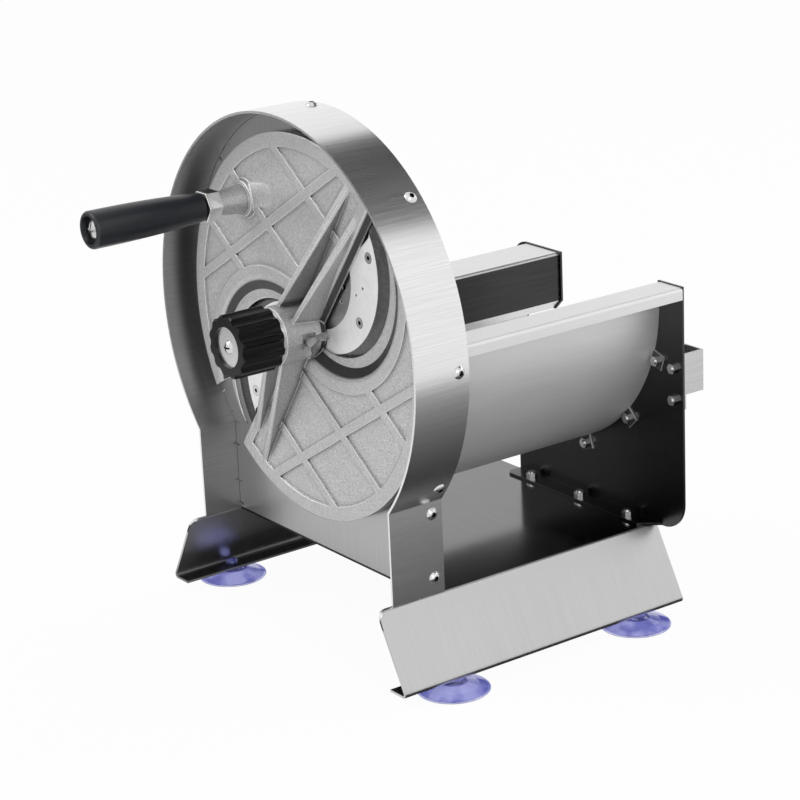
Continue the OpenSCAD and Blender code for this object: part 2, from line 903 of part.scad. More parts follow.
module trough_nuts() {
    color([0.7, 0.7, 0.72]) ear_places() facing_front(0, trough_t + fit - plate_y, 0) nut();
}

module bracket_places() {
    for (z = [bracket_low_z, bracket_high_z])
        translate([bracket_x, 0, z]) children();
}

module rear_bracket() {
    left = plate_right - bracket_w;
    back = body_d + bracket_d;
    color([0.6, 0.6, 0.61]) difference() {
        box(left, plate_right, body_d, back, bracket_z - bracket_tab_h, bracket_z + bracket_h);
        box(left + bracket_t, plate_right - bracket_t, body_d + bracket_t, back - bracket_t,
            bracket_z + bracket_t, bracket_z + bracket_h + cut);
        box(left - cut, plate_right + cut, body_d + bracket_t, back + cut,
            bracket_z - bracket_tab_h - cut, bracket_z);
        bracket_places() facing_back(0, body_d - cut, 0)
            cylinder(r = screw_r + hole_fit, h = bracket_t + 2 * cut);
    }
}

module bracket_screws() {
    l = plate_t + bracket_t + nut_t + cut;
    color([0.75, 0.75, 0.76]) bracket_places() facing_back(0, body_d + bracket_t + fit, 0) button_screw(l);
}

module bracket_nuts() {
    color([0.7, 0.7, 0.72]) bracket_places() facing_front(0, fit - plate_y, 0) nut();
}

// Bearings

module front_bearing_housing() {
    back_y = front_bearing_y + bearing_w + housing_back_t;
    color([0.58, 0.58, 0.6]) on_axis() difference() {
        along_y(panel_t, back_y) circle(housing_r);
        along_y(panel_t - cut, front_bearing_y + bearing_w) circle(bearing_r + fit);
        along_y(panel_t, back_y + cut) circle(shaft_hole_r);
    }
}

module rear_bearing_housing() {
    color([0.58, 0.58, 0.6]) on_axis() difference() {
        along_y(rear_bearing_y - housing_back_t, plate_y) circle(housing_r);
        along_y(rear_bearing_y, plate_y + cut) circle(bearing_r + fit);
        along_y(rear_bearing_y - housing_back_t - cut, plate_y) circle(shaft_hole_r);
    }
}

module bearing_places() {
    for (y = [front_bearing_y, rear_bearing_y])
        translate([0, y, axis_z]) children();
}

// Half of a race's section, with the groove for the balls
module race(r_in, r_out) {
    revolved() difference() {
        area(r_in, r_out, fit, bearing_w - fit);
        translate([ball_track_r, bearing_w / 2]) circle(ball_r + fit);
    }
}

module bearing_outer_races() {
    color([0.72, 0.72, 0.74]) bearing_places() race(ball_track_r + race_half_gap, bearing_r);
}

module bearing_inner_races() {
    color([0.72, 0.72, 0.74]) bearing_places() race(journal_r + fit, ball_track_r - race_half_gap);
}

module bearing_balls() {
    color([0.8, 0.8, 0.82]) bearing_places()
        for (i = [0:ball_n - 1])
            rotate([0, 360 * i / ball_n, 0]) translate([ball_track_r, bearing_w / 2, 0]) sphere(ball_r);
}

module spindle() {
    color([0.7, 0.7, 0.72]) on_axis() difference() {
        union() {
            along_y(-spindle_f, spindle_back_y) circle(journal_r);
            along_y(-sleeve_f, front_bearing_y - fit) circle(spindle_r);
        }
        translate([0, rear_bearing_y + bearing_w, 0]) along_y(fit, fit + ring_t) difference() {
            circle(spindle_r);
            circle(journal_r - ring_groove_d);
        }
    }
}

module retaining_ring() {
    color([0.3, 0.3, 0.32]) on_axis() translate([0, rear_bearing_y + bearing_w, 0])
        along_y(2 * fit, ring_t) difference() {
            circle(ring_r);
            circle(journal_r - ring_groove_d + fit);
            area(0, reach, -ring_t, ring_t);
        }
}

// Blades and their carrier, drawn about the spindle's axis

module seat_side(off) {
    rotate([0, 0, seat_a]) area(-reach, reach, -reach, -off);
}

module blade_spots(shares) {
    for (s = shares)
        translate([s.x * edge_r, 0, s.y * edge_r]) children();
}

module blade() {
    difference() {
        intersection() {
            forward(arm_f, blade_f) difference() {
                translate(edge_centre) circle(edge_r);
                translate(inner_centre) circle(inner_r);
                polygon([for (s = blade_end_shares) s * edge_r]);
                circle(blade_root_r);
            }
            hull() {
                forward(arm_f, arm_f + edge_t)
                    translate(edge_centre) circle(edge_r + skin, $fn = 2 * hull_fn);
                forward(blade_f - skin, blade_f)
                    translate(bevel_centre) circle(bevel_r, $fn = 2 * hull_fn);
            }
        }
        blade_spots(blade_screw_shares) facing_front(0, arm_f - cut, 0)
            cylinder(r = screw_r + hole_fit, h = blade_t + 2 * cut);
        blade_spots(blade_screw_shares) facing_front(0, arm_f, 0)
            cylinder(r1 = csk_r + hole_fit - blade_t, r2 = csk_r + hole_fit, h = blade_t + skin);
        blade_spots(dowel_shares) facing_front(0, arm_f - cut, 0)
            cylinder(r = dowel_r + fit, h = blade_t + 2 * cut);
    }
}

module upper_blade() {
    color([0.9, 0.9, 0.91]) on_axis() blade();
}

module lower_blade() {
    color([0.9, 0.9, 0.91]) on_axis() rotate([0, 180, 0]) blade();
}

module carrier_arm() {
    intersection() {
        translate(edge_centre) circle(carrier_r);
        seat_side(seat_off - seat_slope);
    }
}

module blade_carrier() {
    color([0.45, 0.45, 0.46]) difference() {
        union() {
            both_halves() forward(carrier_back_f, arm_f) carrier_arm();
            on_axis() forward(carrier_back_f, arm_f) circle(carrier_hub_r);
        }
        on_axis() forward(carrier_back_f - cut, arm_f + cut) circle(spindle_r + fit);
        both_halves() blade_spots(blade_screw_shares) facing_front(0, carrier_back_f - cut, 0)
            cylinder(r = screw_r + thread_fit, h = carrier_t + 2 * cut);
        both_halves() blade_spots(dowel_shares) facing_front(0, carrier_back_f - cut, 0)
            cylinder(r = dowel_r + fit, h = carrier_t + 2 * cut);
        both_halves() blade_spots([carrier_screw_shares[0]]) facing_front(0, carrier_back_f - cut, 0)
            cylinder(r = carrier_screw_r + thread_fit, h = carrier_t + 2 * cut);
        both_halves() blade_spots([carrier_screw_shares[1]]) facing_front(0, carrier_back_f - cut, 0)
            cylinder(r = carrier_screw_small_r + thread_fit, h = carrier_t + 2 * cut);
        pin_places() forward(carrier_back_f - cut, arm_f + cut) circle(pin_r + fit);
    }
}

module blade_screws() {
    color([0.75, 0.75, 0.76]) both_halves() blade_spots(blade_screw_shares) facing_front(0, arm_f, 0)
        difference() {
            union() {
                cylinder(r1 = csk_r - blade_t, r2 = csk_r, h = blade_t);
                translate([0, 0, -carrier_t]) cylinder(r = screw_r, h = carrier_t + blade_t / 2);
            }
            translate([0, 0, blade_t / 3]) cylinder(r = csk_r * socket_share, h = blade_t, $fn = 6);
        }
}

module blade_dowels() {
    color([0.6, 0.6, 0.61]) both_halves() blade_spots(dowel_shares)
        forward(carrier_back_f, blade_f) circle(dowel_r);
}

// Set screws that level the carrier's arm, with their sockets at its face
module carrier_screws() {
    radii = [carrier_screw_r, carrier_screw_small_r];
    color([0.4, 0.4, 0.41]) both_halves()
        for (i = [0, 1])
            blade_spots([carrier_screw_shares[i]]) facing_front(0, carrier_back_f, 0) difference() {
                cylinder(r = radii[i], h = carrier_t - rest_gap);
                translate([0, 0, carrier_t / 2]) cylinder(r = radii[i] / 2, h = carrier_t, $fn = 6);
            }
}

module pin_places() {
    for (a = [pin_angle, pin_angle + 180])
        translate([pin_track_r * cos(a), 0, axis_z + pin_track_r * sin(a)]) children();
}

module drive_pins() {
    color([0.7, 0.7, 0.72]) pin_places() forward(carrier_back_f, pin_front_f) circle(pin_r);
}

function spring_point(i) =
    let (n = spring_turns * spring_rings)
    let (a = 360 * i / spring_rings)
    let (f = spring_back_f + (spring_front_f - spring_back_f) * i / n)
    [spring_track_r * cos(a), -f, spring_track_r * sin(a)];

module thrust_spring() {
    n = spring_turns * spring_rings;
    rings = [for (i = [0:n])
        let (a = 360 * i / spring_rings)
        [for (k = [0:spring_sides - 1])
            let (b = 360 * k / spring_sides)
            spring_point(i) + wire_r * [cos(b) * cos(a), sin(b), cos(b) * sin(a)]]];
    faces = [for (i = [0:n - 1])
        for (k = [0:spring_sides - 1])
            let (j = (k + 1) % spring_sides)
            each [[i * spring_sides + k, (i + 1) * spring_sides + k, (i + 1) * spring_sides + j],
                  [i * spring_sides + k, (i + 1) * spring_sides + j, i * spring_sides + j]]];
    first = [for (k = [0:spring_sides - 1]) k];
    last = [for (k = [spring_sides - 1:-1:0]) n * spring_sides + k];
    color([0.6, 0.6, 0.62]) on_axis()
        polyhedron([for (r = rings) each r], concat(faces, [first], [last]));
}
echo(spring_gap = (spring_front_f - spring_back_f) / spring_turns - 2 * wire_r);

// Stop plate, drawn about the spindle's axis

// The half of the plate above the ribs' line
module upper_half() {
    rotate([0, 0, rib_a]) area(-reach, reach, 0, reach);
}

module bar(angle, off) {
    rotate([0, 0, angle]) area(-reach, reach, off - bar_w / 2, off + bar_w / 2);
}

// What the arm's blunt end leaves open, between the arm and the straight edge
module mouth_gap() {
    intersection() {
        polygon([
            [0, 0], [reach * cos(arm_end_a), reach * sin(arm_end_a)],
            [reach * cos(rib_a + seat_off), reach * sin(rib_a + seat_off)]
        ]);
        seat_side(seat_off);
    }
}

module raised_half() {
    intersection() {
        union() {
            difference() {
                circle(rotor_r);
                circle(rotor_r - rim_w);
            }
            intersection() {
                upper_half();
                union() {
                    bar(long_bar_a, long_bar_off);
                    bar(cross_bar_a_deg, cross_bar_a);
                    bar(cross_bar_a_deg, cross_bar_b);
                    bar(cross_bar_a_deg, -cross_bar_c);
                }
            }
            difference() {
                translate(mouth_centre) circle(mouth_r + border_w);
                rotate([0, 0, seat_a]) area(-reach, reach, -seat_off, reach);
            }
            rotate([0, 0, seat_a]) area(0, reach, -seat_off - cut, border_w - seat_off);
            circle(sleeve_r + border_w);
        }
        circle(rotor_r);
    }
}

// The half space on the opening's side of its straight, sloping edge
module seat_space() {
    over = seat_slope * cut / rotor_t;
    rotate([0, -seat_a, 0]) translate([-reach, 0, 0]) rotate([90, 0, 90]) linear_extrude(2 * reach)
        polygon([
            [-face_f - cut, over - seat_off], [cut - stop_f, -seat_off - seat_slope - over],
            [cut - stop_f, -reach], [-face_f - cut, -reach]
        ]);
}

module opening_void() {
    intersection() {
        union() {
            hull() {
                forward(face_f - skin, face_f + cut)
                    translate(mouth_centre) circle(mouth_r, $fn = 2 * hull_fn);
                forward(throat_f, throat_f + skin)
                    translate(throat_centre) circle(throat_r, $fn = 2 * hull_fn);
            }
            forward(stop_f - cut, face_f) translate(lip_centre) circle(lip_r);
            forward(stop_f - cut, face_f + cut) difference() {
                mouth_gap();
                translate(throat_centre) circle(throat_r);
            }
        }
        seat_space();
    }
}

// A tall rib along the rib line, from the sleeve down to the plate
module rib(off, l) {
    rotate([0, -rib_a, 0]) hull() {
        box(0, l, -floor_f - skin, -floor_f + skin, off - rib_foot_w / 2, off + rib_foot_w / 2);
        box(0, sleeve_r / 2, -rib_f, -floor_f, off - rib_crest_w / 2, off + rib_crest_w / 2);
        box(l - skin, l, -floor_f - pocket_d, -floor_f, off - rib_crest_w / 2, off + rib_crest_w / 2);
    }
}

// One rounded end of the mound that fairs the boss into the plate
module mound_end(r, h) {
    rotate_extrude($fn = hull_fn / 2) polygon(concat(
        [[0, 0]],
        [for (i = [0:mound_steps]) let (a = 90 * i / mound_steps) [r * cos(a), h * sin(a)]]
    ));
}

module crank_boss() {
    rise = boss_f - face_f;
    translate([-crank_x, -floor_f, crank_z]) rotate([90, 0, 0]) {
        cylinder(r1 = boss_foot_r, r2 = boss_end_r, h = rise + pocket_d);
        cylinder(r1 = boss_foot_r + collar_w, r2 = boss_foot_r + collar_w / 2, h = collar_h);
    }
    translate([-crank_x, -floor_f, crank_z]) rotate([90, 0, 0]) hull() {
        mound_end(boss_foot_r, mound_h);
        rotate([0, 0, mound_a]) translate([mound_l, 0, 0]) mound_end(mound_tip_r, mound_tip_h);
    }
}

module stop_plate() {
    color([0.7, 0.7, 0.71]) difference() {
        union() {
            difference() {
                union() {
                    on_axis() forward(stop_f, floor_f) circle(rotor_r);
                    both_halves() forward(floor_f - skin, face_f) raised_half();
                }
                both_halves() opening_void();
            }
            both_halves() rib(rib_a_off, rib_a_l);
            both_halves() rib(-rib_b_off, rib_b_l);
            on_axis() crank_boss();
            on_axis() forward(stop_f, sleeve_f) circle(sleeve_r);
        }
        on_axis() forward(stop_f - cut, sleeve_f + cut) circle(sleeve_bore_r + fit);
        pin_places() forward(stop_f - cut, pin_front_f + cut) circle(pin_r + slide_fit);
        on_axis() rotate([0, -slit_a, 0])
            box(sleeve_bore_r - cut, sleeve_r + cut, -slit_f, cut - stop_f, -slit_w / 2, slit_w / 2);
        facing_out(wing_a, -wing_f, sleeve_bore_r - cut)
            cylinder(r = wing_screw_r + thread_fit, h = sleeve_r);
        facing_out(wing_a, -wing_f, sleeve_r - wing_seat_d)
            translate([-wing_seat_w / 2, -wing_seat_w / 2, 0]) cube([wing_seat_w, wing_seat_w, sleeve_r]);
        translate(crank_place) forward(crank_bolt_back_f - fit, boss_f + cut)
            circle(crank_bolt_r + thread_fit);
    }
}

module sleeve_bush() {
    color([0.72, 0.55, 0.3]) difference() {
        on_axis() ring(bush_back_f, sleeve_f, spindle_r + slide_fit, sleeve_bore_r);
        facing_out(wing_a, -wing_f, spindle_r - cut)
            cylinder(r = wing_screw_r + hole_fit, h = sleeve_r);
    }
}

module thrust_washer() {
    color([0.75, 0.75, 0.76]) on_axis()
        ring(washer_f, washer_f + washer_t, journal_r + hole_fit, sleeve_r - cut);
}

module wing_screw() {
    tip_r = spindle_r + rest_gap;
    seat_r = sleeve_r - wing_seat_d + rest_gap;
    color([0.35, 0.35, 0.36]) facing_out(wing_a, -wing_f, 0) {
        translate([0, 0, tip_r]) cylinder(r = wing_screw_r, h = seat_r + cut - tip_r);
        translate([0, 0, seat_r]) cylinder(r = wing_body_r, h = wing_body_l);
        translate([0, 0, seat_r + wing_body_l / 2]) rotate([0, 0, 90 + wing_tilt]) rotate([90, 0, 0])
            translate([0, 0, -wing_t / 2]) linear_extrude(wing_t) polygon([
                for (p = wing_shares) [wing_half_w * p[0], wing_out * p[1]]
            ]);
    }
}

// Crank

module crank_bolt() {
    color([0.6, 0.6, 0.61]) translate(crank_place) difference() {
        union() {
            forward(crank_bolt_back_f, grip_floor_f + cut) circle(crank_bolt_r);
            facing_front(0, grip_floor_f + rest_gap, 0) dome(crank_head_r, crank_head_h);
        }
        facing_front(0, grip_floor_f + rest_gap, 0) cross_slot(crank_head_r * cross_share, crank_head_h);
    }
}

module crank_nut() {
    color([0.78, 0.8, 0.8]) translate(crank_place) facing_front(0, boss_f + fit, 0) difference() {
        intersection() {
            hex(crank_nut_af, crank_nut_t - fit);
            translate([0, 0, -cut]) cylinder(
                r1 = crank_nut_af * nut_corner_shares[0], r2 = crank_nut_af * nut_corner_shares[1],
                h = crank_nut_t + 2 * cut
            );
        }
        translate([0, 0, -cut]) cylinder(r = crank_bolt_r + thread_fit, h = crank_nut_t + 2 * cut);
    }
}

// Radius of the grip, from the nut at 0 to the outer end at 1
function grip_swell(t) = grip_r - (grip_r - grip_neck_r) * pow(1 - t, grip_power);

module crank_grip() {
    bore = crank_bolt_r + grip_bush_wall + fit;
    f0 = grip_back_f;
    f1 = grip_front_f;
    e = grip_edge_r;
    neck_f = f0 + grip_neck;
    color([0.08, 0.08, 0.09]) translate(crank_place) revolved() polygon(concat(
        [[bore, -f0], [grip_neck_r - grip_neck, -f0], [grip_neck_r, -neck_f]],
        [for (i = [1:grip_steps])
            let (t = i / grip_steps)
            [grip_swell(t), -neck_f - (f1 - e - neck_f) * t]],
        [for (a = [edge_step:edge_step:90]) [grip_r - e + e * cos(a), -f1 + e - e * sin(a)]],
        [[grip_recess_r, -f1], [grip_recess_r, -grip_floor_f], [bore, -grip_floor_f]]
    ));
}

module grip_bushes() {
    color([0.72, 0.55, 0.3]) translate(crank_place) {
        for (f = [grip_back_f, grip_floor_f - grip_bush_l])
            ring(f, f + grip_bush_l, crank_bolt_r + slide_fit, crank_bolt_r + grip_bush_wall);
    }
}

// Knob

module thickness_knob() {
    color([0.05, 0.05, 0.055]) on_axis() difference() {
        revolved() polygon([
            [insert_r + fit, -knob_back_f], [knob_r - knob_edge, -knob_back_f],
            [knob_r, -knob_back_f - knob_edge], [knob_r, knob_edge - knob_front_f],
            [knob_r - knob_edge, -knob_front_f], [disc_r + fit, -knob_front_f],
            [disc_r + fit, -disc_back_f], [insert_r + fit, -disc_back_f]
        ]);
        for (i = [0:flute_n - 1])
            rotate([0, 360 * i / flute_n, 0])
                translate([knob_r + flute_r - flute_d, 0, 0])
                    forward(knob_back_f - cut, knob_front_f + cut) circle(flute_r);
    }
}

module knob_insert() {
    color([0.75, 0.6, 0.3]) on_axis() difference() {
        forward(insert_back_f, insert_front_f) circle(insert_r);
        forward(insert_back_f - cut, insert_bore_f) circle(journal_r + thread_fit);
        forward(insert_back_f, insert_front_f + cut) circle(screw_r + thread_fit);
    }
}

module knob_disc() {
    color([0.8, 0.8, 0.81]) on_axis()
        ring(disc_back_f + skin, disc_front_f, screw_r + hole_fit, disc_r);
}

module knob_screw() {
    color([0.75, 0.75, 0.76]) on_axis() facing_front(0, disc_front_f + skin, 0) difference() {
        union() {
            dome(knob_screw_head_r, knob_screw_head_h);
            translate([0, 0, -(disc_front_f - insert_bore_f - cut)])
                cylinder(r = screw_r, h = disc_front_f - insert_bore_f);
        }
        cross_slot(knob_screw_head_r * cross_share, knob_screw_head_h);
    }
}

base_frame();
suction_cups();
front_panel();
hoop();
hoop_screws();
trough();
spindle_cover();
rear_plate();
deck_screws();
deck_nuts();
trough_screws();
trough_nuts();
rear_bracket();
bracket_screws();
bracket_nuts();
front_bearing_housing();
rear_bearing_housing();
bearing_outer_races();
bearing_inner_races();
bearing_balls();
spindle();
retaining_ring();
blade_carrier();
upper_blade();
lower_blade();
blade_screws();
blade_dowels();
carrier_screws();
drive_pins();
thrust_spring();
stop_plate();
sleeve_bush();
thrust_washer();
wing_screw();
crank_bolt();
crank_nut();
crank_grip();
grip_bushes();
thickness_knob();
knob_insert();
knob_disc();
knob_screw();
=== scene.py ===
import math

import bmesh
import bpy
from mathutils import Matrix, Vector


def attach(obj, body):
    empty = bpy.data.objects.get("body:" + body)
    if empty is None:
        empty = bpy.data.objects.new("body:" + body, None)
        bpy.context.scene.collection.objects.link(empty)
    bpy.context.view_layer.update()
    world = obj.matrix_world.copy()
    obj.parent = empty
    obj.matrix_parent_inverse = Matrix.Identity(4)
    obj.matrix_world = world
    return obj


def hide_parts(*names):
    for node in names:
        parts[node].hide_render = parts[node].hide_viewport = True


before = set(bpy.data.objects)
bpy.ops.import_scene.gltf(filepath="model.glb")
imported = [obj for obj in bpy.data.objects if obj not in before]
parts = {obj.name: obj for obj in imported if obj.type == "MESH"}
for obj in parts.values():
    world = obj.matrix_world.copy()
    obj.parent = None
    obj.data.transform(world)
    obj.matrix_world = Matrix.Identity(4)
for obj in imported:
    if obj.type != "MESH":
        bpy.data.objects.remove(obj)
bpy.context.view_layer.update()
mm = 0.001
axisHeight = 0.2
axisToOrigin = (0, 0, -axisHeight)
acrossAxis = (1, 0, 1)  # drops what runs along the axis
print("frame loaded:", len(parts), "nodes")


# Node helpers

def setInputs(tree, node, inputs):
    for name, value in inputs.items():
        if isinstance(value, bpy.types.NodeSocket):
            tree.links.new(value, node.inputs[name])
        else:
            node.inputs[name].default_value = value


def addNode(tree, kind, inputs=None, **settings):
    node = tree.nodes.new(kind)
    for name, value in settings.items():
        setattr(node, name, value)
    setInputs(tree, node, inputs or {})
    return node


def placeGroup(tree, group, inputs):
    node = tree.nodes.new("ShaderNodeGroup")
    node.node_tree = group
    setInputs(tree, node, inputs)
    return node


def newGroup(name, inputs, outputs):
    group = bpy.data.node_groups.new(name, "ShaderNodeTree")
    for label, kind, value in inputs:
        socket = group.interface.new_socket(label, in_out="INPUT", socket_type=kind)
        socket.default_value = value
    for label, kind in outputs:
        group.interface.new_socket(label, in_out="OUTPUT", socket_type=kind)
    return group, addNode(group, "NodeGroupInput"), addNode(group, "NodeGroupOutput")


def spread(tree, value, low, high, toLow=0.0, toHigh=1.0):
    node = addNode(tree, "ShaderNodeMapRange", {
        "Value": value, "From Min": low, "From Max": high, "To Min": toLow, "To Max": toHigh,
    })
    return node.outputs["Result"]


def blendValue(tree, share, low, high):
    return addNode(tree, "ShaderNodeMix", {0: share, 2: low, 3: high}).outputs[0]


def blendColor(tree, share, low, high):
    node = addNode(tree, "ShaderNodeMix", {0: share, 6: low, 7: high}, data_type="RGBA")
    return node.outputs[2]


def vectorMath(tree, operation, inputs):
    return addNode(tree, "ShaderNodeVectorMath", inputs, operation=operation)


def multiply(tree, first, second):
    return addNode(tree, "ShaderNodeMath", {0: first, 1: second}, operation="MULTIPLY").outputs[0]


def coordinate(tree, vector, letter):
    return addNode(tree, "ShaderNodeSeparateXYZ", {0: vector}).outputs[letter]


def grey(value):
    return (value, value, value, 1.0)


# Shared effects: brushing, bead blasting, slow cloudiness, and an edge mask for painted edge highlights and
# shade

grainRange = {"low": 0.32, "high": 0.68, "detail": 3.0, "rough": 0.6}
cloudLook = {"scale": 14.0, "detail": 2.0}
blastLook = {"fine": 1700.0, "coarse": 1000.0, "share": 0.35}
edgeLook = {"width": 1 * mm, "gain": 3.0, "samples": 6}


def makeBrushGroup():
    group, start, end = newGroup(
        "brushedGrain",
        [("Place", "NodeSocketVector", (0, 0, 0)), ("Stretch", "NodeSocketVector", (1, 1, 1))],
        [("Shade", "NodeSocketFloat"), ("Cloud", "NodeSocketFloat")],
    )
    stretched = vectorMath(group, "MULTIPLY", {0: start.outputs["Place"], 1: start.outputs["Stretch"]})
    lines = addNode(group, "ShaderNodeTexNoise", {
        "Vector": stretched.outputs[0], "Scale": 1.0,
        "Detail": grainRange["detail"], "Roughness": grainRange["rough"],
    })
    cloud = addNode(group, "ShaderNodeTexNoise", {
        "Vector": start.outputs["Place"], "Scale": cloudLook["scale"], "Detail": cloudLook["detail"],
    })
    shade = spread(group, lines.outputs["Fac"], grainRange["low"], grainRange["high"])
    group.links.new(shade, end.inputs["Shade"])
    group.links.new(cloud.outputs["Fac"], end.inputs["Cloud"])
    return group


def makeRingGroup():
    group, start, end = newGroup(
        "turnedRings",
        [("Place", "NodeSocketVector", (0, 0, 0)), ("Stretch", "NodeSocketVector", (1, 1, 1))],
        [("Shade", "NodeSocketFloat"), ("Cloud", "NodeSocketFloat")],
    )
    fromAxis = vectorMath(group, "ADD", {0: start.outputs["Place"], 1: axisToOrigin})
    flat = vectorMath(group, "MULTIPLY", {0: fromAxis.outputs[0], 1: acrossAxis})
    radius = vectorMath(group, "LENGTH", {0: flat.outputs[0]})
    stretched = vectorMath(group, "SCALE", {0: start.outputs["Stretch"], 3: radius.outputs["Value"]})
    lines = addNode(group, "ShaderNodeTexNoise", {"Vector": stretched.outputs[0], "Scale": 1.0})
    cloud = addNode(group, "ShaderNodeTexNoise", {
        "Vector": start.outputs["Place"], "Scale": cloudLook["scale"], "Detail": cloudLook["detail"],
    })
    shade = spread(group, lines.outputs["Fac"], grainRange["low"], grainRange["high"])
    group.links.new(shade, end.inputs["Shade"])
    group.links.new(cloud.outputs["Fac"], end.inputs["Cloud"])
    return group


def makeBlastGroup():
    group, start, end = newGroup(
        "blastedSkin",
        [("Place", "NodeSocketVector", (0, 0, 0)), ("Size", "NodeSocketFloat", 1.0)],
        [("Shade", "NodeSocketFloat"), ("Cloud", "NodeSocketFloat")],
    )
    sized = vectorMath(group, "SCALE", {0: start.outputs["Place"], 3: start.outputs["Size"]})
    fine = addNode(group, "ShaderNodeTexNoise", {"Vector": sized.outputs[0], "Scale": blastLook["fine"]})
    coarse = addNode(group, "ShaderNodeTexNoise", {"Vector": sized.outputs[0], "Scale": blastLook["coarse"]})
    mixed = blendValue(group, blastLook["share"], fine.outputs["Fac"], coarse.outputs["Fac"])
    cloud = addNode(group, "ShaderNodeTexNoise", {
        "Vector": start.outputs["Place"], "Scale": cloudLook["scale"],
    })
    shade = spread(group, mixed, grainRange["low"], grainRange["high"])
    group.links.new(shade, end.inputs["Shade"])
    group.links.new(cloud.outputs["Fac"], end.inputs["Cloud"])
    return group


def makeEdgeGroup():
    group, start, end = newGroup(
        "paintedEdgeLight",
        [("Width", "NodeSocketFloat", edgeLook["width"]), ("Gain", "NodeSocketFloat", edgeLook["gain"])],
        [("Edge", "NodeSocketFloat"), ("Normal", "NodeSocketVector")],
    )
    rounded = addNode(group, "ShaderNodeBevel", {"Radius": start.outputs["Width"]},
                      samples=edgeLook["samples"])
    geometry = addNode(group, "ShaderNodeNewGeometry")
    along = vectorMath(group, "DOT_PRODUCT", {0: rounded.outputs[0], 1: geometry.outputs["Normal"]})
    off = addNode(group, "ShaderNodeMath", {0: 1.0, 1: along.outputs["Value"]}, operation="SUBTRACT")
    edge = addNode(group, "ShaderNodeMath", {0: off.outputs[0], 1: start.outputs["Gain"]},
                   operation="MULTIPLY", use_clamp=True)
    group.links.new(edge.outputs[0], end.inputs["Edge"])
    group.links.new(rounded.outputs[0], end.inputs["Normal"])
    return group


brushGroup = makeBrushGroup()
ringGroup = makeRingGroup()
blastGroup = makeBlastGroup()
edgeGroup = makeEdgeGroup()
print("shared effects made")


# Materials

softTurn = 0.15  # how slowly the painted shade on the hoop's inner face takes over
creviceLook = {"samples": 4, "low": 0.5, "high": 0.85}


def startMaterial(name):
    material = bpy.data.materials.new(name)
    material.use_nodes = True
    tree = material.node_tree
    shader = tree.nodes["Principled BSDF"]
    place = addNode(tree, "ShaderNodeTexCoord").outputs["Object"]
    return material, tree, shader, place


def surfaceNormal(tree):
    return addNode(tree, "ShaderNodeTexCoord").outputs["Normal"]


def facingMask(tree, axis, low, high):
    along = vectorMath(tree, "DOT_PRODUCT", {0: surfaceNormal(tree), 1: axis})
    return spread(tree, along.outputs["Value"], low, high)


def inwardMask(tree, place):
    fromAxis = vectorMath(tree, "ADD", {0: place, 1: axisToOrigin})
    flat = vectorMath(tree, "MULTIPLY", {0: fromAxis.outputs[0], 1: acrossAxis})
    outward = vectorMath(tree, "NORMALIZE", {0: flat.outputs[0]})
    along = vectorMath(tree, "DOT_PRODUCT", {0: surfaceNormal(tree), 1: outward.outputs[0]})
    return spread(tree, along.outputs["Value"], 0.0, -softTurn)


def paintedShadowMask(tree, place, shadowed):  # painted shadow on the deck's front edge under the front panel
    raised = spread(tree, coordinate(tree, place, "Z"), shadowed["above"] - mm, shadowed["above"])
    return multiply(tree, raised, facingMask(tree, *shadowed["facing"]))


def crevice(tree, reach):
    node = addNode(tree, "ShaderNodeAmbientOcclusion", {"Distance": reach},
                   samples=creviceLook["samples"], only_local=True)
    return node.outputs["AO"]


def roughnessFrom(tree, tone, look):
    return spread(tree, tone, 0.0, 1.0, look["rough"] - look["roughSpan"], look["rough"] + look["roughSpan"])


def roughenedBy(tree, height, look, inputs=None):
    bump = addNode(tree, "ShaderNodeBump", {
        "Strength": look["bump"], "Distance": look["bumpDepth"], "Height": height,
    })
    setInputs(tree, bump, inputs or {})
    return bump.outputs[0]


def metalMaterial(name, look):
    material, tree, shader, place = startMaterial(name)
    grain = placeGroup(tree, ringGroup if look.get("rings") else brushGroup,
                       {"Place": place, "Stretch": look["stretch"]})
    shade = grain.outputs["Shade"]
    cloud = grain.outputs["Cloud"]
    tone = blendValue(tree, look["cloudShare"], shade, cloud)
    color = blendColor(tree, tone, look["dark"], look["light"])
    rough = roughnessFrom(tree, tone, look)
    # Painted light and shade: faces that turn one way, or the hoop's inner face, get a painted shade copy of
    # the finish; the blade's flat face gets a painted bright reflection
    other = look.get("other")
    if other:
        mask = facingMask(tree, *other["facing"]) if "facing" in other else inwardMask(tree, place)
        otherColor = blendColor(tree, tone, other["dark"], other["light"])
        color = blendColor(tree, mask, color, otherColor)
        rough = blendValue(tree, mask, rough, other["rough"])
    # Painted shade in crevices, from ambient occlusion
    if "crevice" in look:
        openness = spread(tree, crevice(tree, look["crevice"]), creviceLook["low"], creviceLook["high"])
        color = blendColor(tree, openness, look["deep"], color)
    # Painted shadow on the deck's front edge under the front panel
    if "shadowed" in look:
        color = blendColor(tree, paintedShadowMask(tree, place, look["shadowed"]), color, look["shadowed"]["color"])
    tree.links.new(color, shader.inputs["Base Color"])
    tree.links.new(rough, shader.inputs["Roughness"])
    tree.links.new(roughenedBy(tree, shade, look), shader.inputs["Normal"])
    shader.inputs["Metallic"].default_value = look["metallic"]
    return material


